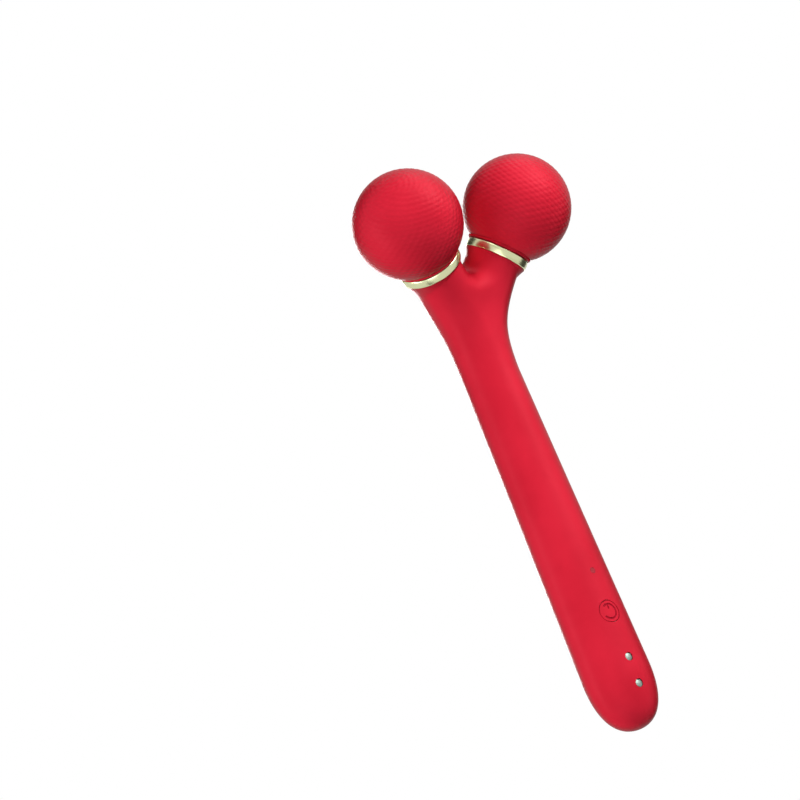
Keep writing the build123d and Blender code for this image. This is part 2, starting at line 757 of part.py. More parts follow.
for hand, side in hands:
    with BuildPart() as collar:
        with BuildSketch(arm_plane(side, arm_end - bond_line)):
            Circle(collar_diameter / 2)
        extrude(amount=collar_height - bond_line)
        fillet(collar.edges().filter_by(GeomType.CIRCLE), collar_edge)
        with BuildSketch(arm_plane(side, arm_end)):
            Circle(spigot_diameter / 2 + slip_fit)
        extrude(amount=arm_end - plate_low, mode=Mode.SUBTRACT)
        with BuildSketch(arm_plane(side, arm_end)):
            Circle(seal_diameter / 2 + slip_fit)
        extrude(amount=arm_end, mode=Mode.SUBTRACT)
    finish(collar, f"collar_{hand}")

    with BuildPart() as axle:
        shoulder = shoulder_diameter / 2
        flange = axle_flange_diameter / 2
        bore = end_screw_diameter / 2 + slip_fit
        bore_end = axle_tip - end_screw_length - slip_fit
        add(turned(side, [
            (0, -axle_root),
            (shoulder, -axle_root),
            (shoulder, -axle_flange_drop - axle_flange_thickness),
            (flange, -axle_flange_drop - axle_flange_thickness),
            (flange, -axle_flange_drop),
            (shoulder, -axle_flange_drop),
            (shoulder, -shoulder_drop),
            (axle_diameter / 2, -shoulder_drop),
            (axle_diameter / 2, axle_tip),
            (bore, axle_tip),
            (bore, bore_end),
            (0, bore_end),
        ]))
    finish(axle, f"axle_{hand}")

    with BuildPart() as axle_seal:
        with BuildSketch(arm_plane(side, plate_low - slip_fit)):
            Circle(seal_diameter / 2)
            Circle(shoulder_diameter / 2 + slip_fit, mode=Mode.SUBTRACT)
        extrude(amount=seal_height)
    finish(axle_seal, f"axle_seal_{hand}")

    with BuildPart() as end_washer:
        with BuildSketch(arm_plane(side, -axle_tip)):
            Circle(washer_diameter / 2)
            Circle(end_screw_diameter / 2 + slip_fit, mode=Mode.SUBTRACT)
        extrude(amount=washer_thickness)
    finish(end_washer, f"end_washer_{hand}")

    with BuildPart() as end_screw:
        with BuildSketch(arm_plane(side, -axle_tip - washer_thickness)):
            Circle(end_screw_head / 2)
        extrude(amount=end_screw_head_height)
        with BuildSketch(arm_plane(side, -axle_tip - washer_thickness)):
            Circle(end_screw_diameter / 2)
        extrude(amount=-end_screw_length)
    finish(end_screw, f"end_screw_{hand}")

    with BuildPart() as bushes:
        inner = axle_diameter / 2 + running_fit
        barrel = bush_diameter / 2
        rim = bush_flange_diameter / 2
        for seat, step in ((-core_base + bush_flange, 1), (hub_top, -1)):
            add(turned(side, [
                (inner, seat - step * bush_flange),
                (rim, seat - step * bush_flange),
                (rim, seat),
                (barrel, seat),
                (barrel, seat + step * bush_length),
                (inner, seat + step * bush_length),
            ]))
    finish(bushes, f"bushes_{hand}")

    with BuildPart() as core_cup:
        add(ball_slice(side, core_radius, -core_base, 0))
        hollow = ball_slice(side, core_radius - core_wall, -core_base + core_wall, core_radius)
        add(hollow, mode=Mode.SUBTRACT)
        with BuildSketch(arm_plane(side, core_base)):
            Circle(hub_diameter / 2)
        extrude(amount=core_base + hub_top)
        with BuildSketch(arm_plane(side, core_base)):
            Circle(bush_diameter / 2 + slip_fit)
        extrude(amount=core_base + hub_top, mode=Mode.SUBTRACT)
        with BuildSketch(arm_plane(side, core_base)):
            Circle(bush_flange_diameter / 2 + slip_fit)
        extrude(amount=bush_flange, mode=Mode.SUBTRACT)
    finish(core_cup, f"core_cup_{hand}")

    with BuildPart() as core_dome:
        add(ball_slice(side, core_radius, 0, core_radius))
        add(ball_slice(side, core_radius - core_wall, -core_wall, core_radius), mode=Mode.SUBTRACT)
        with BuildSketch(arm_plane(side, lip_height)):
            Circle(lip_diameter / 2)
            Circle(lip_diameter / 2 - lip_wall, mode=Mode.SUBTRACT)
        extrude(amount=lip_height + lip_root)
    finish(core_dome, f"core_dome_{hand}")

    with BuildPart() as ball_cover:
        add(ball_slice(side, ball_radius, -base_drop, ball_radius))
        with BuildSketch(arm_plane(side, base_drop)):
            Circle(skirt_diameter / 2)
        extrude(amount=cover_wall)
        fillet(ball_cover.edges().filter_by(GeomType.CIRCLE).sort_by(arm_axis(side))[0], base_round)
        hollow = ball_slice(side, ball_radius - cover_wall, -core_base - bond_line, ball_radius)
        add(hollow, mode=Mode.SUBTRACT)
        with BuildSketch(arm_plane(side, base_drop)):
            Circle(cover_lip_bore / 2)
        extrude(amount=2 * cover_wall, mode=Mode.SUBTRACT)
    finish(ball_cover, f"ball_cover_{hand}")
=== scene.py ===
"""Looks of a hand-held face roller: red silicone skin, two ridged balls, pale gold collars."""

import json
from math import cos, pi, radians, sin, sqrt

import bpy
from mathutils import Matrix, Quaternion, Vector
from mathutils.kdtree import KDTree


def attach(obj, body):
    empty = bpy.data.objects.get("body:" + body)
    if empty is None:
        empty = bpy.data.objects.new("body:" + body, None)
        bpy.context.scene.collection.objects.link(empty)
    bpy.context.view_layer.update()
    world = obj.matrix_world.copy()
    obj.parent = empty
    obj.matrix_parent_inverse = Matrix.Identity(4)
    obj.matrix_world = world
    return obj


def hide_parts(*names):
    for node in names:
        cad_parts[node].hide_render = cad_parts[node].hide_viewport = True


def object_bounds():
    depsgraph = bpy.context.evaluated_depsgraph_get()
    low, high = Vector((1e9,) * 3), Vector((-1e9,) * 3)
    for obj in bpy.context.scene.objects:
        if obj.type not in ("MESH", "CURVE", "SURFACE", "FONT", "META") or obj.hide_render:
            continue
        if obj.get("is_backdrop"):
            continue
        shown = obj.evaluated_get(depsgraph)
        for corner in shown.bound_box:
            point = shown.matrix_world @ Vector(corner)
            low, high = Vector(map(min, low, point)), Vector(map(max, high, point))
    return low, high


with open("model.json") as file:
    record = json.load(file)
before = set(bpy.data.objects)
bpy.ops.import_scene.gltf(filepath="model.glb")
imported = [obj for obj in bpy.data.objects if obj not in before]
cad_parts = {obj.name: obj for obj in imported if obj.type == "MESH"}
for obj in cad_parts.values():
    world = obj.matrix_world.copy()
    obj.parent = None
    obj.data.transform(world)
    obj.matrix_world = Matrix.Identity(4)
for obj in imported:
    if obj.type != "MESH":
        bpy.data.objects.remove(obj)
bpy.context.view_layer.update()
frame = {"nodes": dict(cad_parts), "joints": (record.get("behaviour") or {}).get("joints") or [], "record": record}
bpy.ops.object.select_all(action="DESELECT")
scene = bpy.context.scene
nodes = frame["nodes"]

# ------------------------------------------------------------------ sizes and places (metres)
MM = 0.001
joints = {joint["name"]: joint for joint in frame["joints"]}

# the handle's own directions: across, along it from tail to head, and in from the button side
across = Vector((1, 0, 0))
along = Vector(joints["rotor_spin"]["axis"])
inward = Vector(joints["power_key_press"]["axis"])
ROTOR_STATION = 113.0 * MM                # of the rotor's joint on the handle's axis
tail_tip = Vector(joints["rotor_spin"]["pos_m"]) - along * ROTOR_STATION

# balls, measured from a ball's centre down its arm
BALL_DETAIL = 7                           # subdivisions of the ball's mesh
BALL_RADIUS = 15.5 * MM
CREASE_DROP = 12.2 * MM                   # where the ball ends in a fine crease
CREASE_WIDTH = 0.2 * MM
CREASE_DEPTH = 0.35 * MM
SKIRT_RADIUS = 9.35 * MM                  # short rim under the crease
BASE_DROP = 12.9 * MM                     # flat base
BASE_ROUND = 0.15 * MM                    # of the base's edge
COVER_WALL = 1.5 * MM
COVER_BORE = 5.0 * MM                     # radius
COVER_BORE_TALL = 4 * COVER_WALL          # height of the bore's cutter
COVER_STEPS = 64                          # round the hollow and its bore
RIDGE_COUNT = 1150
RIDGE_LENGTH = 1.25 * MM                  # half of it
RIDGE_WIDTH = 0.62 * MM                   # half of it
RIDGE_DEPTH = 0.10 * MM
RIDGE_MARGIN = 1.6 * MM                   # plain band above the crease

# collars
COLLAR_LOW = 13.2 * MM                    # outer face, under the ball
COLLAR_HIGH = 15.65 * MM                  # face on the arm's end
COLLAR_RADIUS = 9.15 * MM
COLLAR_CROWN = 0.05 * MM                  # how far the band stands out in its middle
COLLAR_EDGE = 0.4 * MM                    # radius of its rounded edges
COLLAR_PLATE = 0.7 * MM                   # thickness under the ball
COLLAR_SEAT = 7.05 * MM                   # radius of the hollow over the housing's end
COLLAR_BORE = 3.0 * MM                    # radius round the seal

# power key, measured on the handle
KEY_STATION = 31.9 * MM
SYMBOL_RADIUS = 2.1 * MM
SYMBOL_STROKE = 0.55 * MM
SYMBOL_GAP = 80.0                         # opening of its ring, degrees
SYMBOL_DEPTH = 0.32 * MM
SYMBOL_EDGE = SYMBOL_STROKE / 3           # rounding of the bar
SYMBOL_BAR = 1.7 * MM                     # length
SYMBOL_BAR_PLACE = SYMBOL_RADIUS - SYMBOL_BAR / 3     # its middle, from the ring's centre
SYMBOL_TALL = 8 * SYMBOL_STROKE           # height of its cutter
SYMBOL_STEPS = 40
SIGN_SINK = 0.12 * MM                     # top of the inlay in the engraved sign
KEY_DEPTH = 8.0 * MM                      # middle of the symbol's cutter, over the handle's axis

# charging contacts
CONTACT_TOP = 7.0 * MM                    # their faces lie higher than this over the handle's axis
CONTACT_EDGE = 0.12 * MM                  # size of the rounded rim
CONTACT_DISH = 0.06 * MM                  # depth
CONTACT_RIM = 2 * CONTACT_EDGE            # round the dish

# neck, where the straight handle meets the head
NECK_STATION = 106.0 * MM
NECK_RADIUS = 8.05 * MM
NECK_INSIDE = 7.4 * MM                    # the sleeve's inner face has a smaller radius
NECK_RUN = 11.0 * MM                      # the head is levelled over this length
NECK_JOIN = 0.6 * MM                      # points of its rim closer than this are joined

# meshes
MERGE = 1e-6                              # points closer than this are one
LEVEL = 0.999                             # a face lies across a direction from this cosine up
ROUND_STEPS = 3                           # of a rounded edge
NEAR_RIDGES = 4                           # looked at for each point of a ball
RIDGE_ROUND = 0.7                         # under 1 makes the ridges' tops broader
TURN_STEPS = 128                          # round a turned ring
FLAT_ANGLE = radians(1)                   # faces that differ less are one
SKIN_ANGLE = radians(32)                  # edges sharper than this stay sharp
BALL_ANGLE = radians(46)
TURNED_ANGLE = radians(40)

# ------------------------------------------------------------------ the view
VIEW_PLACE = tail_tip + across * 0.49691 - inward * 0.61813 - along * 0.10775
VIEW_BACK = (across * 0.5789 - inward * 0.7708 - along * 0.2659).normalized()
VIEW_RIGHT = (-across * 0.1551 - inward * 0.4242 + along * 0.8922).cross(VIEW_BACK).normalized()
VIEW_UP = VIEW_BACK.cross(VIEW_RIGHT)
VIEW_LENS = 132.0
SENSOR = 36.0
VIEW_START = 0.01                         # nothing nearer than this is seen

# ------------------------------------------------------------------ stage
LAMP_REACH = 0.7                          # from the middle of the device
BACK_REACH = 0.9
CARD_REACH = 0.45
FLOOR_SIZE = 8
FLOOR_WHITE = (0.9, 0.9, 0.9, 1)
FLOOR_SHADE = 0.4                         # share of the floor's look that light and shadow change
WHITE = (1, 1, 1, 1)
FILL = 0.04                               # strength of the world's own light

# ------------------------------------------------------------------ colours
SILICONE_RED = (0.66, 0.018, 0.040)
SILICONE_DEEP = (0.60, 0.015, 0.034)
SILICONE_SHEEN = (1.0, 0.12, 0.18, 1)
# painted shade: a deeper red mixed into the silicone's colour towards its rims, where it turns from the eye
SILICONE_RIM_PAINTED_SHADE = (0.30, 0.002, 0.010, 1)
PAINTED_RIM_SHADE_START = 0.30                          # where the painted rim shade starts, by the skin's turn from the eye, from 0 to 1
PAINTED_RIM_SHADE_END = 0.90
PAINTED_RIM_SHADE_SHARE = 0.95                          # share of the painted shade's deeper red at the very rim
# partly painted shade: the sign's darker red is partly its own tone-on-tone colour and partly shade painted into
# its engraved groove
SIGN_RED_AND_PAINTED_SHADE = (0.36, 0.006, 0.020)
SIGN_DEEP_AND_PAINTED_SHADE = (0.32, 0.005, 0.017)
PALE_GOLD = (0.60, 0.62, 0.37)
GOLD_STAIN = (0.47, 0.48, 0.25)
TRACK_GREEN = (0.030, 0.210, 0.060, 1)


def at(x, depth, station):
    """A point by the handle's own directions; depth grows towards the button side."""
    return tail_tip + across * x - inward * depth + along * station


# ------------------------------------------------------------------ shader nodes
def add(tree, kind, inputs=None, **settings):
    """A node with its settings, and its inputs as values or as another node's output."""
    node = tree.nodes.new(kind)
    for name, value in settings.items():
        setattr(node, name, value)
    for name, value in (inputs or {}).items():
        if isinstance(value, bpy.types.NodeSocket):
            tree.links.new(value, node.inputs[name])
        else:
            node.inputs[name].default_value = value
    return node


MIX_FACTOR, MIX_A, MIX_B, MIX_COLOR = 0, 6, 7, 2     # sockets of a colour Mix node


def mix_colors(tree, factor, low, high):
    """A colour between two, by a factor from 0 to 1."""
    node = add(tree, "ShaderNodeMix", {MIX_FACTOR: factor, MIX_A: low, MIX_B: high},
               data_type="RGBA")
    return node.outputs[MIX_COLOR]


def spread_about(tree, value, spread, middle):
    """A value from 0 to 1 made to vary about a middle by a spread."""
    centred = add(tree, "ShaderNodeMath", {0: value, 1: 0.5}, operation="SUBTRACT")
    return add(tree, "ShaderNodeMath", {0: centred.outputs[0], 1: spread, 2: middle},
               operation="MULTIPLY_ADD").outputs[0]


def ramp(tree, value, low, high, top=1.0):
    """A soft step from 0 to its top between two values."""
    return add(tree, "ShaderNodeMapRange", {
        "Value": value, "From Min": low, "From Max": high, "To Max": top},
        interpolation_type="SMOOTHSTEP").outputs["Result"]


def new_effect(name, values):
    """An empty surface effect: named values in, and a colour, a roughness and a height out."""
    kinds = {float: "NodeSocketFloat", tuple: "NodeSocketColor"}
    group = bpy.data.node_groups.new(name, "ShaderNodeTree")
    group.interface.new_socket("Vector", in_out="INPUT", socket_type="NodeSocketVector")
    for label, default in values.items():
        kind = kinds[type(default)]
        socket = group.interface.new_socket(label, in_out="INPUT", socket_type=kind)
        socket.default_value = default
    group.interface.new_socket("Color", in_out="OUTPUT", socket_type="NodeSocketColor")
    for label in ("Roughness", "Height"):
        group.interface.new_socket(label, in_out="OUTPUT", socket_type="NodeSocketFloat")
    given = group.nodes.new("NodeGroupInput").outputs
    result = group.nodes.new("NodeGroupOutput").inputs
    return group, given, result


def moulded_effect():
    """Moulded rubber or plastic: faint clouds in the colour and a fine matt grain."""
    group, given, result = new_effect("moulded_surface", {
        "Color": (0.8, 0.8, 0.8, 1.0), "Deep Color": (0.6, 0.6, 0.6, 1.0),
        "Cloud Scale": 60.0, "Grain Scale": 6000.0, "Roughness": 0.45, "Spread": 0.1})
    clouds = add(group, "ShaderNodeTexNoise", {
        "Vector": given["Vector"], "Scale": given["Cloud Scale"], "Detail": 4.0})
    grain = add(group, "ShaderNodeTexNoise", {
        "Vector": given["Vector"], "Scale": given["Grain Scale"], "Detail": 2.0})
    share = ramp(group, clouds.outputs["Fac"], 0.35, 0.65)
    tint = mix_colors(group, share, given["Deep Color"], given["Color"])
    rough = spread_about(group, grain.outputs["Fac"], given["Spread"], given["Roughness"])
    group.links.new(tint, result["Color"])
    group.links.new(rough, result["Roughness"])
    group.links.new(grain.outputs["Fac"], result["Height"])
    return group


def metal_effect():
    """Drawn, turned or plated metal: streaks along one direction and soft stains."""
    group, given, result = new_effect("metal_surface", {
        "Color": (0.7, 0.7, 0.7, 1.0), "Stain": (0.5, 0.5, 0.5, 1.0),
        "Stain Scale": 180.0, "Streak Scale": 1500.0, "Roughness": 0.25, "Spread": 0.15})
    stain = add(group, "ShaderNodeTexNoise", {
        "Vector": given["Vector"], "Scale": given["Stain Scale"], "Detail": 3.0})
    streak = add(group, "ShaderNodeTexNoise", {
        "Vector": given["Vector"], "Scale": given["Streak Scale"], "Detail": 3.0})
    share = ramp(group, stain.outputs["Fac"], 0.5, 0.8, 0.6)
    tint = mix_colors(group, share, given["Color"], given["Stain"])
    rough = spread_about(group, streak.outputs["Fac"], given["Spread"], given["Roughness"])
    group.links.new(tint, result["Color"])
    group.links.new(rough, result["Roughness"])
    group.links.new(streak.outputs["Fac"], result["Height"])
    return group


def cell_effect():
    """Foam, sintered metal or wrinkled film: round cells with darker pits between them."""
    group, given, result = new_effect("cell_surface", {
        "Color": (0.5, 0.5, 0.5, 1.0), "Pit Color": (0.2, 0.2, 0.2, 1.0),
        "Cell Scale": 2500.0, "Pit": 0.35, "Roughness": 0.8, "Spread": 0.2})
    cells = add(group, "ShaderNodeTexVoronoi", {
        "Vector": given["Vector"], "Scale": given["Cell Scale"]})
    uneven = add(group, "ShaderNodeTexNoise", {
        "Vector": given["Vector"], "Scale": given["Cell Scale"], "Detail": 3.0})
    share = ramp(group, cells.outputs["Distance"], 0.2, 0.7)
    share = add(group, "ShaderNodeMath", {0: share, 1: given["Pit"]}, operation="MULTIPLY")
    tint = mix_colors(group, share.outputs[0], given["Color"], given["Pit Color"])
    rough = spread_about(group, uneven.outputs["Fac"], given["Spread"], given["Roughness"])
    height = add(group, "ShaderNodeMath", {0: 1.0, 1: cells.outputs["Distance"]},
                 operation="SUBTRACT")
    group.links.new(tint, result["Color"])
    group.links.new(rough, result["Roughness"])
    group.links.new(height.outputs[0], result["Height"])
    return group


MOULDED = moulded_effect()
METAL = metal_effect()
CELLS = cell_effect()
EVEN = (1, 1, 1)
RINGS = (1, 1, 0.12)                      # a pattern drawn fine along Z, as turning leaves it
DRAWN = (0.12, 0.12, 2.5)                 # a pattern drawn out along Z


def new_material(name, effect, values, bump, depth, stretch=EVEN, axis=None, **shader_values):
    """A material whose colour, roughness and bump come from one shared effect.

    The pattern is stretched along an axis, and shader_values are set on the shader itself.
    """
    material = bpy.data.materials.new(name)
    material.use_nodes = True
    tree = material.node_tree
    shader = tree.nodes["Principled BSDF"]
    for socket, value in shader_values.items():
        shader.inputs[socket.replace("_", " ")].default_value = value
    place = add(tree, "ShaderNodeTexCoord")
    turn = (axis or Vector((0, 0, 1))).to_track_quat("Z", "Y").to_euler()
    mapped = add(tree, "ShaderNodeMapping", {
        "Vector": place.outputs["Object"], "Scale": stretch, "Rotation": turn},
        vector_type="TEXTURE")
    surface = add(tree, "ShaderNodeGroup", node_tree=effect, name="surface")
    for socket, value in values.items():
        surface.inputs[socket].default_value = value
    tree.links.new(mapped.outputs["Vector"], surface.inputs["Vector"])
    tree.links.new(surface.outputs["Color"], shader.inputs["Base Color"])
    tree.links.new(surface.outputs["Roughness"], shader.inputs["Roughness"])
    relief = add(tree, "ShaderNodeBump", {
        "Strength": bump, "Distance": depth, "Height": surface.outputs["Height"]})
    tree.links.new(relief.outputs["Normal"], shader.inputs["Normal"])
    return material


def moulded(name, color, deep, roughness, bump=0.15, spread=0.12, clouds=60.0, grain=6000.0,
            **shader_values):
    """Rubber or plastic as it comes from the mould."""
    return new_material(name, MOULDED, {
        "Color": (*color, 1), "Deep Color": (*deep, 1), "Roughness": roughness, "Spread": spread,
        "Cloud Scale": clouds, "Grain Scale": grain}, bump, 0.05 * MM, **shader_values)


def metal(name, color, stain, roughness, stretch=RINGS, axis=along, bump=0.1, spread=0.15,
          streaks=1500.0):
    """Bare or plated metal."""
    return new_material(name, METAL, {
        "Color": (*color, 1), "Stain": (*stain, 1), "Roughness": roughness, "Spread": spread,
        "Streak Scale": streaks}, bump, 0.02 * MM, stretch, axis, Metallic=1.0)


def celled(name, color, pit, roughness, scale, share=0.5, bump=0.5, depth=0.1 * MM,
           **shader_values):
    """Foam, sintered metal or film."""
    return new_material(name, CELLS, {
        "Color": (*color, 1), "Pit Color": (*pit, 1), "Roughness": roughness, "Cell Scale": scale,
        "Pit": share}, bump, depth, **shader_values)


def printed_board():
    """Solder mask with copper tracks that show through it."""
    board = moulded("printed_board", (0.010, 0.115, 0.040), (0.008, 0.085, 0.030), 0.28,
                    bump=0.05, Coat_Weight=0.4, Coat_Roughness=0.12)
    tree = board.node_tree
    place = add(tree, "ShaderNodeTexCoord")
    tracks = add(tree, "ShaderNodeTexBrick", {
        "Vector": place.outputs["Object"], "Scale": 1.0, "Mortar Size": 0.11 * MM,
        "Mortar Smooth": 0.1, "Brick Width": 2.6 * MM, "Row Height": 0.9 * MM,
        "Color1": (0, 0, 0, 1), "Color2": (0, 0, 0, 1), "Mortar": (1, 1, 1, 1)})
    tint = mix_colors(tree, tracks.outputs["Color"], tree.nodes["surface"].outputs["Color"],
                      TRACK_GREEN)
    tree.links.new(tint, tree.nodes["Principled BSDF"].inputs["Base Color"])
    return board


def soft_red(name, roughness, bump):
    """Soft red silicone, with shade painted into its colour: a deeper red where it turns away from the eye."""
    skin = moulded(name, SILICONE_RED, SILICONE_DEEP, roughness, bump=bump,
                   Specular_IOR_Level=0.12, Specular_Tint=SILICONE_SHEEN)
    tree = skin.node_tree
    # painted shade: the colour turns to a deeper red towards the rims, by how far the skin turns from the eye
    turned = add(tree, "ShaderNodeLayerWeight", {"Blend": 0.5})
    rim = ramp(tree, turned.outputs["Facing"], PAINTED_RIM_SHADE_START, PAINTED_RIM_SHADE_END, PAINTED_RIM_SHADE_SHARE)
    tint = mix_colors(tree, rim, tree.nodes["surface"].outputs["Color"], SILICONE_RIM_PAINTED_SHADE)
    tree.links.new(tint, tree.nodes["Principled BSDF"].inputs["Base Color"])
    return skin


# ------------------------------------------------------------------ finishes
FINISHES = {
    "sleeve_silicone": soft_red("red_silicone", 0.42, 0.10),
    "ball_silicone": soft_red("ridged_silicone", 0.42, 0.12),
    "key_plastic": soft_red("red_key", 0.38, 0.06),
    "housing_plastic": moulded(
        "cream_housing", (0.64, 0.60, 0.53), (0.58, 0.54, 0.47), 0.50, bump=0.3, grain=3000.0),
    "core_plastic": moulded(
        "white_core", (0.70, 0.68, 0.62), (0.64, 0.62, 0.56), 0.45, bump=0.25, grain=2600.0),
    "bush_plastic": moulded(
        "slippery_bush", (0.82, 0.80, 0.73), (0.76, 0.73, 0.66), 0.32, bump=0.1,
        Subsurface_Weight=0.1),
    "board_laminate": printed_board(),
    "chip_resin": moulded(
        "chip_resin", (0.022, 0.022, 0.025), (0.016, 0.016, 0.018), 0.55, bump=0.4, grain=4000.0),
    "switch_metal": metal("stamped_switch", (0.62, 0.61, 0.58), (0.45, 0.43, 0.38), 0.28),
    "led_resin": moulded(
        "diode_resin", (0.80, 0.74, 0.42), (0.72, 0.66, 0.36), 0.16, bump=0.04,
        Transmission_Weight=0.4),
    "light_pipe_clear": moulded(
        "clear_window", (0.42, 0.012, 0.028), (0.36, 0.010, 0.022), 0.18, bump=0.03,
        Specular_IOR_Level=0.3),
    "contact_metal": metal(
        "plated_contact", (0.21, 0.26, 0.23), (0.14, 0.17, 0.15), 0.46, axis=-inward, bump=0.05),
    "magnet_nickel": metal("nickel_magnet", (0.60, 0.58, 0.54), (0.46, 0.44, 0.40), 0.14, EVEN),
    "cell_wrap": celled(
        "cell_wrap", (0.020, 0.085, 0.300), (0.015, 0.060, 0.220), 0.24, 260.0, share=0.4,
        bump=0.15, Coat_Weight=0.5, Coat_Roughness=0.08),
    "pad_foam": celled(
        "cell_pad_foam", (0.030, 0.030, 0.032), (0.008, 0.008, 0.009), 0.9, 2200.0, share=0.8,
        bump=0.8, depth=0.25 * MM),
    "lead_sheath": moulded(
        "lead_sheath", (0.50, 0.012, 0.010), (0.42, 0.010, 0.008), 0.34, bump=0.08),
    "motor_steel": metal("drawn_motor_can", (0.56, 0.56, 0.57), (0.42, 0.41, 0.40), 0.26, DRAWN),
    "boot_rubber": moulded(
        "boot_rubber", (0.020, 0.020, 0.021), (0.013, 0.013, 0.014), 0.62, bump=0.35,
        grain=3500.0),
    "weight_steel": celled(
        "sintered_weight", (0.30, 0.30, 0.31), (0.16, 0.16, 0.17), 0.42, 5200.0, share=0.6,
        depth=0.05 * MM, Metallic=1.0),
    "axle_steel": metal("ground_axle", (0.63, 0.63, 0.64), (0.50, 0.49, 0.47), 0.15),
    "screw_steel": metal("zinc_screw", (0.50, 0.51, 0.53), (0.42, 0.40, 0.30), 0.30, EVEN),
    "seal_rubber": moulded(
        "seal_rubber", (0.016, 0.016, 0.017), (0.010, 0.010, 0.011), 0.48, bump=0.2),
}
card_black = moulded("card_black", (0.03, 0.03, 0.02), (0.02, 0.02, 0.015), 0.9)
# partly painted shade: a darker red for the engraved sign, standing partly for the shade in its groove
sign_red_and_painted_shade = moulded("sign_red_and_painted_shade", SIGN_RED_AND_PAINTED_SHADE, SIGN_DEEP_AND_PAINTED_SHADE, 0.50, bump=0.1,
                   Specular_IOR_Level=0.1, Specular_Tint=SILICONE_SHEEN)
gold = {
    hand: metal(f"pale_gold_{hand}", PALE_GOLD, GOLD_STAIN, 0.24,
                axis=Vector(joints[f"roller_{hand}_spin"]["axis"]), bump=0.03, spread=0.08)
    for hand in ("right", "left")
}
slot_of = {part["node"]: part["material_slot"] for part in frame["record"]["subparts"]}


def dress(piece, material):
    """A piece or CAD node gets its one material."""
    piece.data.materials.clear()
    piece.data.materials.append(material)


# ------------------------------------------------------------------ mesh helpers
def begin_piece(name):
    """Names the primitive that was just added, with its place in its mesh."""
    piece = bpy.context.object
    piece.name = name
    bpy.ops.object.transform_apply(location=True, rotation=True, scale=True)
    return piece


def pick(piece):
    """The one selected and active object."""
    bpy.ops.object.select_all(action="DESELECT")
    piece.select_set(True)
    bpy.context.view_layer.objects.active = piece


def edit(piece):
    """Opens a piece's mesh with all of it selected."""
    pick(piece)
    bpy.ops.object.mode_set(mode="EDIT")
    bpy.ops.mesh.select_all(action="SELECT")


def leave_edit():
    """Back to working on whole pieces."""
    bpy.ops.object.mode_set(mode="OBJECT")


def cut(piece, cutter, operation="DIFFERENCE"):
    """A boolean with another piece, which is then deleted."""
    pick(piece)
    change = piece.modifiers.new("cut", "BOOLEAN")
    change.operation = operation
    change.object = cutter
    change.solver = "EXACT"
    bpy.ops.object.modifier_apply(modifier=change.name)
    bpy.data.objects.remove(cutter)


def move_mesh(piece, origin, x_axis, y_axis, z_axis):
    """Carries a mesh that was modelled about the world's axes to its place on the device."""
    turn = Matrix((x_axis, y_axis, z_axis)).transposed().to_4x4()
    piece.data.transform(Matrix.Translation(origin) @ turn)


def seat_on_arm(piece, joint):
    """Carries a mesh to its ball's centre, with its +Z out along the arm."""
    axis = Vector(joint["axis"])
    side = axis.orthogonal().normalized()
    move_mesh(piece, Vector(joint["pos_m"]), side, axis.cross(side), axis)


def eased(share):
    """A soft step from 0 to 1."""
    return share * share * (3 - 2 * share)


def smooth(piece, angle):
    """Soft shading over a piece, except at edges sharper than the angle."""
    pick(piece)
    bpy.ops.object.shade_smooth_by_angle(angle=angle)


def connected_copy(node, name):
    """A copy of a CAD node as one connected skin, for a piece that gets more detail."""
    piece = bpy.data.objects.new(name, nodes[node].data.copy())
    scene.collection.objects.link(piece)
    pick(piece)
    if piece.data.has_custom_normals:
        bpy.ops.mesh.customdata_custom_splitnormals_clear()
    edit(piece)
    bpy.ops.mesh.remove_doubles(threshold=MERGE)
    leave_edit()
    return piece


def settle(piece, body, *replaced):
    """A finished piece rides on its body, stands for its CAD nodes and takes their finish."""
    slot = slot_of[replaced[0]]
    if slot in FINISHES:
        dress(piece, FINISHES[slot])
    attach(piece, body)
    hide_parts(*replaced)


# ------------------------------------------------------------------ silicone sleeve
def level_neck(skin):
    """Takes out the fine step where the head meets the straight handle."""
    outside = []
    for vertex in skin.data.vertices:
        offset = vertex.co - tail_tip
        run = offset.dot(along) - NECK_STATION
        spoke = offset - along * offset.dot(along)
        if -MERGE < run < NECK_RUN and spoke.length > NECK_INSIDE:
            outside.append((vertex, run, spoke))
    rim = [spoke for _, run, spoke in outside
           if run < MERGE and abs(spoke.length - NECK_RADIUS) > MERGE]
    tree = KDTree(len(rim))
    for index, spoke in enumerate(rim):
        tree.insert(spoke.normalized(), index)
    tree.balance()
    for vertex, run, spoke in outside:
        if run > MERGE or abs(spoke.length - NECK_RADIUS) > MERGE:
            # the rim's radius here, between its two nearest points
            near = tree.find_n(spoke.normalized(), 2)
            reach = sum(distance for _, _, distance in near)
            height = sum(rim[index].length * (reach - distance) for _, index, distance in near)
            fade = 1 - eased(run / NECK_RUN)
            vertex.co -= spoke.normalized() * (height / reach - NECK_RADIUS) * fade
    joined = {vertex.index for vertex, run, _ in outside if run < MERGE}
    edit(skin)
    bpy.ops.mesh.select_mode(type="VERT")
    bpy.ops.mesh.select_all(action="DESELECT")
    leave_edit()
    for vertex in skin.data.vertices:
        vertex.select = vertex.index in joined
    bpy.ops.object.mode_set(mode="EDIT")
    bpy.ops.mesh.remove_doubles(threshold=NECK_JOIN)
    leave_edit()


def silicone_skin():
    """The sleeve as one smooth skin, so that light runs over it without a break."""
    skin = connected_copy("silicone_sleeve", "silicone_skin")
    level_neck(skin)
    smooth(skin, SKIN_ANGLE)
    settle(skin, "handle", "silicone_sleeve")


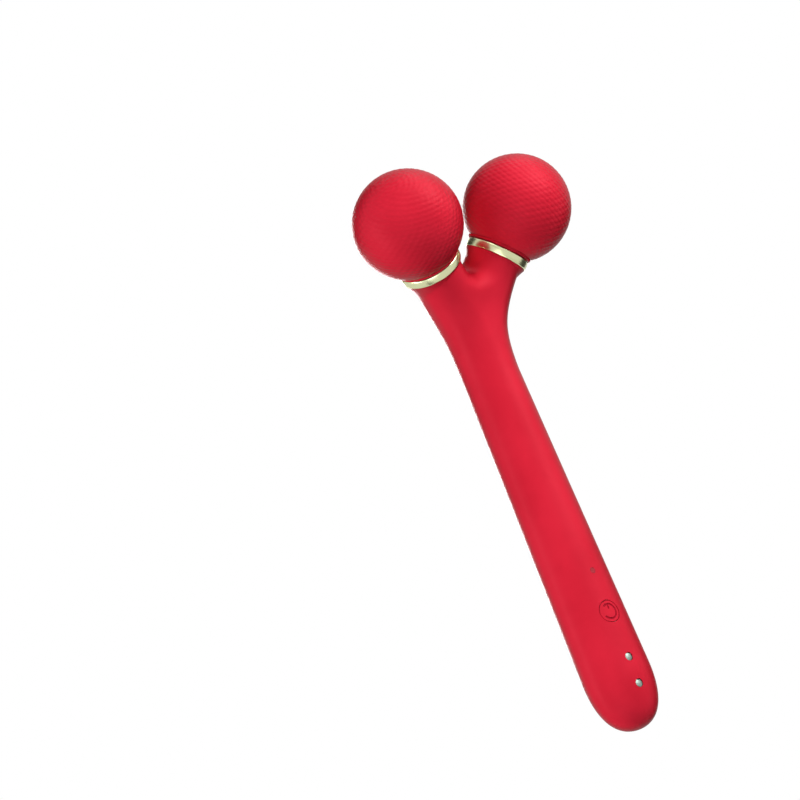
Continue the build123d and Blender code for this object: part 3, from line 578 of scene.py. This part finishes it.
# ------------------------------------------------------------------ ridged balls
def ridge_points():
    """Middles of the ridges on a unit ball, on a sunflower spiral about +Z."""
    golden = pi * (3 - sqrt(5))
    points = []
    for index in range(RIDGE_COUNT):
        height = 1 - 2 * (index + 0.5) / RIDGE_COUNT
        spread = sqrt(1 - height * height)
        points.append(Quaternion((0, 0, 1), golden * index) @ Vector((spread, 0, height)))
    return points


def ridge_height(direction, tree):
    """How high the ridges stand at a direction from the ball's centre, from 0 to 1."""
    height = 0.0
    for middle, _, _ in tree.find_n(direction, NEAR_RIDGES):
        east = Vector((-middle.y, middle.x, 0)).normalized()
        north = middle.cross(east)
        offset = (direction - middle) * BALL_RADIUS
        share = (offset.dot(east) / RIDGE_LENGTH) ** 2 + (offset.dot(north) / RIDGE_WIDTH) ** 2
        if share < 1:
            height = max(height, (1 - share) ** RIDGE_ROUND)
    return height


def raise_ridges(ball):
    """Lowers the ball's skin between its ridges, less and less towards the crease."""
    middles = ridge_points()
    tree = KDTree(len(middles))
    for index, middle in enumerate(middles):
        tree.insert(middle, index)
    tree.balance()
    for vertex in ball.data.vertices:
        rise = vertex.co.z + CREASE_DROP
        if rise > MERGE:
            direction = vertex.co.normalized()
            fade = eased(min(1.0, rise / RIDGE_MARGIN))
            sink = RIDGE_DEPTH * (1 - ridge_height(direction, tree))
            vertex.co = direction * (BALL_RADIUS - sink * fade)


def extrude_down(length):
    """Draws the selected base out along the ball's axis."""
    bpy.ops.mesh.extrude_region_move(TRANSFORM_OT_translate={"value": (0, 0, -length)})


def shrink_flat(radius, target):
    """Scales the selected base of the ball about its axis to another radius."""
    scale = target / radius
    bpy.ops.transform.resize(value=(scale, scale, 1), center_override=(0, 0, -CREASE_DROP))


def cover_hollow():
    """What the cover leaves free inside: a ball with a flat base, and the bore below it."""
    bpy.ops.mesh.primitive_uv_sphere_add(
        segments=COVER_STEPS, ring_count=COVER_STEPS // 2, radius=BALL_RADIUS - COVER_WALL)
    hollow = begin_piece("hollow")
    edit(hollow)
    bpy.ops.mesh.bisect(plane_co=(0, 0, COVER_WALL - BASE_DROP), plane_no=(0, 0, 1),
                        use_fill=True, clear_inner=True)
    leave_edit()
    bpy.ops.mesh.primitive_cylinder_add(
        vertices=COVER_STEPS, radius=COVER_BORE, depth=COVER_BORE_TALL, location=(0, 0, -BASE_DROP))
    cut(hollow, begin_piece("bore"), "UNION")
    return hollow


def ridged_ball(hand):
    """The silicone cover of a ball: hollow, with short ridges, a crease and a flat-based rim."""
    bpy.ops.mesh.primitive_ico_sphere_add(subdivisions=BALL_DETAIL, radius=BALL_RADIUS)
    ball = begin_piece(f"ridged_ball_{hand}")
    edit(ball)
    bpy.ops.mesh.bisect(plane_co=(0, 0, -CREASE_DROP), plane_no=(0, 0, 1),
                        use_fill=True, clear_inner=True)
    bpy.ops.mesh.select_mode(type="FACE")
    leave_edit()
    for face in ball.data.polygons:
        face.select = face.normal.z < -LEVEL and face.center.z < MERGE - CREASE_DROP
    bpy.ops.object.mode_set(mode="EDIT")
    crease_radius = sqrt(BALL_RADIUS ** 2 - CREASE_DROP ** 2)
    extrude_down(0)
    shrink_flat(crease_radius, crease_radius - CREASE_DEPTH)
    extrude_down(CREASE_WIDTH)
    extrude_down(0)
    shrink_flat(crease_radius - CREASE_DEPTH, SKIRT_RADIUS)
    extrude_down(BASE_DROP - CREASE_DROP - CREASE_WIDTH)
    bpy.ops.mesh.bevel(offset=BASE_ROUND, segments=ROUND_STEPS, affect="EDGES")
    leave_edit()
    raise_ridges(ball)
    cut(ball, cover_hollow())
    seat_on_arm(ball, joints[f"roller_{hand}_spin"])
    smooth(ball, BALL_ANGLE)
    settle(ball, f"roller_{hand}", f"ball_cover_{hand}")


# ------------------------------------------------------------------ gold collars
def turned_ring(name, profile):
    """A closed ring turned about +Z from its profile of radius and height."""
    bpy.ops.mesh.primitive_circle_add(vertices=len(profile), radius=1)
    ring = begin_piece(name)
    for vertex, (radius, height) in zip(ring.data.vertices, profile):
        vertex.co = (radius, 0, height)
    edit(ring)
    bpy.ops.mesh.spin(steps=TURN_STEPS, angle=2 * pi, center=(0, 0, 0), axis=(0, 0, 1))
    bpy.ops.mesh.select_all(action="SELECT")
    bpy.ops.mesh.remove_doubles(threshold=MERGE)
    bpy.ops.mesh.normals_make_consistent(inside=False)
    leave_edit()
    return ring


def arc(radius, height, size, start, end, steps=6):
    """Points of a rounded edge: its middle, its radius, and its first and last angle."""
    angles = [radians(start + (end - start) * step / steps) for step in range(steps + 1)]
    return [(radius + size * cos(angle), height + size * sin(angle)) for angle in angles]


def gold_collar(hand):
    """A polished collar: a slightly crowned band with rounded edges, hollow over the arm's end."""
    middle = (COLLAR_LOW + COLLAR_HIGH) / 2
    edge = COLLAR_RADIUS - COLLAR_EDGE
    profile = arc(edge, -COLLAR_LOW - COLLAR_EDGE, COLLAR_EDGE, 90, 0)
    profile += [(COLLAR_RADIUS + COLLAR_CROWN, -middle)]
    profile += arc(edge, -COLLAR_HIGH + COLLAR_EDGE, COLLAR_EDGE, 0, -90)
    profile += [
        (COLLAR_SEAT, -COLLAR_HIGH),
        (COLLAR_SEAT, -COLLAR_LOW - COLLAR_PLATE),
        (COLLAR_BORE, -COLLAR_LOW - COLLAR_PLATE),
        (COLLAR_BORE, -COLLAR_LOW),
    ]
    collar = turned_ring(f"gold_collar_{hand}", profile)
    seat_on_arm(collar, joints[f"roller_{hand}_spin"])
    smooth(collar, TURNED_ANGLE)
    settle(collar, "handle", f"collar_{hand}")
    dress(collar, gold[hand])


# ------------------------------------------------------------------ power key
def power_symbol(name):
    """The cutter for the engraved sign: an open ring and a bar, modelled upright about +Z."""
    bpy.ops.mesh.primitive_plane_add(size=1)
    ring = begin_piece(name)
    corners = [(-0.5, -0.5), (0.5, -0.5), (-0.5, 0.5), (0.5, 0.5)]
    start = radians(90 + SYMBOL_GAP / 2)
    for vertex, (right, rise) in zip(ring.data.vertices, corners):
        reach = SYMBOL_RADIUS + right * SYMBOL_STROKE
        vertex.co = (reach * cos(start), reach * sin(start), rise * SYMBOL_TALL)
    edit(ring)
    bpy.ops.mesh.spin(steps=SYMBOL_STEPS, angle=radians(360 - SYMBOL_GAP), center=(0, 0, 0),
                      axis=(0, 0, 1))
    bpy.ops.mesh.select_all(action="SELECT")
    bpy.ops.mesh.normals_make_consistent(inside=False)
    leave_edit()
    bpy.ops.mesh.primitive_cube_add(
        size=1, location=(0, SYMBOL_BAR_PLACE, 0), scale=(SYMBOL_STROKE, SYMBOL_BAR, SYMBOL_TALL))
    bar = begin_piece("symbol_bar")
    edit(bar)
    bpy.ops.mesh.bevel(offset=SYMBOL_EDGE, segments=ROUND_STEPS, affect="EDGES")
    leave_edit()
    cut(ring, bar, "UNION")
    return ring


def sunk_key(name, depth):
    """The key's own form, moved inwards, to trim what follows its curved top."""
    form = connected_copy("power_key", name)
    form.data.transform(Matrix.Translation(inward * depth))
    return form


def power_cap():
    """The round power key, its sign engraved to an even depth and laid in with a darker red, which is partly a
    tone-on-tone sign and partly painted shade of the groove.
    """
    cap = connected_copy("power_key", "power_cap")
    groove, sign = power_symbol("groove"), power_symbol("power_sign")
    for symbol in (groove, sign):
        move_mesh(symbol, at(0, KEY_DEPTH, KEY_STATION), -across, along, -inward)
        cut(symbol, sunk_key("groove_floor", SYMBOL_DEPTH))
    cut(cap, groove)
    cut(sign, sunk_key("sign_top", SIGN_SINK), "INTERSECT")
    smooth(cap, SKIN_ANGLE)
    smooth(sign, SKIN_ANGLE)
    settle(cap, "key", "power_key")
    # the inlay's darker red is partly painted shade of the groove
    dress(sign, sign_red_and_painted_shade)
    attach(sign, "key")


# ------------------------------------------------------------------ charging contacts
def contact_pins():
    """The two charging pins, with a rounded rim and a shallow dish on top."""
    pins = connected_copy("charge_contacts", "contact_pins")
    edit(pins)
    bpy.ops.mesh.dissolve_limited(angle_limit=FLAT_ANGLE)
    bpy.ops.mesh.select_mode(type="FACE")
    leave_edit()
    for face in pins.data.polygons:
        height = (face.center - tail_tip).dot(-inward)
        face.select = face.normal.dot(inward) < -LEVEL and height > CONTACT_TOP
    bpy.ops.object.mode_set(mode="EDIT")
    bpy.ops.mesh.bevel(offset=CONTACT_EDGE, segments=ROUND_STEPS, affect="EDGES")
    bpy.ops.mesh.inset(thickness=CONTACT_RIM)
    bpy.ops.transform.translate(value=inward * CONTACT_DISH)
    leave_edit()
    smooth(pins, TURNED_ANGLE)
    settle(pins, "handle", "charge_contacts")


# ------------------------------------------------------------------ stage: camera, lamps, floor
def make_camera():
    """The camera of the main view, which looks at the button side."""
    bpy.ops.object.camera_add()
    camera = bpy.context.object
    camera.name = "viewpoint"
    camera.data.lens = VIEW_LENS
    camera.data.sensor_width = SENSOR
    camera.data.clip_start = VIEW_START
    turn = Matrix((VIEW_RIGHT, VIEW_UP, VIEW_BACK)).transposed()
    camera.matrix_world = Matrix.Translation(VIEW_PLACE) @ turn.to_4x4()
    scene.camera = camera


def seen(right, rise, back):
    """A direction as it lies in the view."""
    return VIEW_RIGHT * right + VIEW_UP * rise + VIEW_BACK * back


def place_facing(direction, reach):
    """A place off the device's middle that faces it, upright along the handle."""
    low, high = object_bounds()
    back = direction.normalized()
    up = (along - back * along.dot(back)).normalized()
    turn = Matrix((up.cross(back), up, back)).transposed().to_4x4()
    return Matrix.Translation((low + high) / 2 + back * reach) @ turn


def softbox(name, direction, width, height, power, reach=LAMP_REACH):
    """A rectangular soft lamp that faces the device, its height along the handle."""
    bpy.ops.object.light_add(type="AREA")
    lamp = bpy.context.object
    lamp.name = name
    lamp.data.shape = "RECTANGLE"
    lamp.data.size, lamp.data.size_y = width, height
    lamp.data.energy = power
    lamp.matrix_world = place_facing(direction, reach)


def make_lamps():
    """A strip beside the handle, soft boxes over its head and in front, and one for its back."""
    # direction as seen, width and height in metres, power in watts
    softbox("strip_left", seen(-0.86, -0.33, 0.38), 0.12, 0.7, 3.7)
    softbox("box_above_right", seen(0.5, 0.8, 0.2), 0.4, 0.4, 4.9)
    softbox("box_above", seen(0.0, 0.9, 0.4), 0.5, 0.3, 1.5)
    softbox("box_behind", seen(0.1, 0.98, -0.25), 0.5, 0.3, 0.8)
    softbox("box_in_front", seen(0.0, 0.0, 1.0), 0.4, 0.4, 0.6)
    softbox("box_low_front", seen(0.0, -0.5, 0.85), 0.4, 0.4, 1.6)
    softbox("lamp_for_the_back", seen(-0.15, 0.0, -1.0), 0.4, 0.4, 6.0, BACK_REACH)


def dark_card(name, direction, width, height):
    """A dark card beside the device that only reflections see, for the metal's darker bands."""
    bpy.ops.mesh.primitive_plane_add(size=1)
    card = bpy.context.object
    card.name = name
    size = Matrix.Diagonal((width, height, 1, 1))
    card.matrix_world = place_facing(direction, CARD_REACH) @ size
    card.visible_camera = card.visible_diffuse = card.visible_shadow = False
    card.visible_transmission = False
    dress(card, card_black)
    card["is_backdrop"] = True


def make_cards():
    """Two cards behind the device and one below it, as the view sees them."""
    dark_card("card_behind_left", seen(-0.75, 0.30, -0.60), 0.30, 0.45)
    dark_card("card_behind_right", seen(0.85, -0.15, -0.55), 0.30, 0.45)
    dark_card("card_below", seen(0.0, -0.93, 0.37), 0.10, 0.18)


def make_floor():
    """A pale floor under the device. It shows from above only, and blocks no light."""
    bpy.ops.mesh.primitive_plane_add(size=FLOOR_SIZE)
    floor = bpy.context.object
    floor.name = "floor"
    material = bpy.data.materials.new("pale_floor")
    material.use_nodes = True
    tree = material.node_tree
    tree.nodes.clear()
    ray = add(tree, "ShaderNodeLightPath")
    side = add(tree, "ShaderNodeNewGeometry")
    front = add(tree, "ShaderNodeMath", {0: 1.0, 1: side.outputs["Backfacing"]},
                operation="SUBTRACT")
    shown = add(tree, "ShaderNodeMath", {0: ray.outputs["Is Camera Ray"], 1: front.outputs[0]},
                operation="MULTIPLY")
    clear = add(tree, "ShaderNodeBsdfTransparent")
    glow = add(tree, "ShaderNodeEmission", {"Color": FLOOR_WHITE, "Strength": 1.0})
    pale = add(tree, "ShaderNodeBsdfDiffuse", {"Color": FLOOR_WHITE})
    ground = add(tree, "ShaderNodeMixShader", {
        0: FLOOR_SHADE, 1: glow.outputs[0], 2: pale.outputs[0]})
    both = add(tree, "ShaderNodeMixShader", {
        0: shown.outputs[0], 1: clear.outputs[0], 2: ground.outputs[0]})
    end = add(tree, "ShaderNodeOutputMaterial")
    tree.links.new(both.outputs[0], end.inputs["Surface"])
    floor.data.materials.append(material)
    floor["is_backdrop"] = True


def make_world():
    """White where it is seen or reflected, and a plain soft fill for the rest."""
    world = bpy.data.worlds.new("studio")
    scene.world = world
    world.use_nodes = True
    tree = world.node_tree
    tree.nodes.clear()
    ray = add(tree, "ShaderNodeLightPath")
    viewed = add(tree, "ShaderNodeMath", {
        0: ray.outputs["Is Camera Ray"], 1: ray.outputs["Is Glossy Ray"]}, operation="MAXIMUM")
    shown = add(tree, "ShaderNodeMath", {
        0: viewed.outputs[0], 1: ray.outputs["Is Transmission Ray"]}, operation="MAXIMUM")
    white = add(tree, "ShaderNodeBackground", {"Color": WHITE, "Strength": 1.0})
    fill = add(tree, "ShaderNodeBackground", {"Color": WHITE, "Strength": FILL})
    both = add(tree, "ShaderNodeMixShader", {
        0: shown.outputs[0], 1: fill.outputs[0], 2: white.outputs[0]})
    end = add(tree, "ShaderNodeOutputWorld")
    tree.links.new(both.outputs[0], end.inputs["Surface"])


# ------------------------------------------------------------------ the device
for name, node in nodes.items():
    hand = name.rsplit("_", 1)[-1]
    dress(node, gold[hand] if name.startswith("collar") else FINISHES[slot_of[name]])
silicone_skin()
power_cap()
contact_pins()
for hand in ("right", "left"):
    ridged_ball(hand)
    gold_collar(hand)

make_camera()
make_lamps()
make_cards()
make_floor()
make_world()
scene.view_settings.view_transform = "Standard"
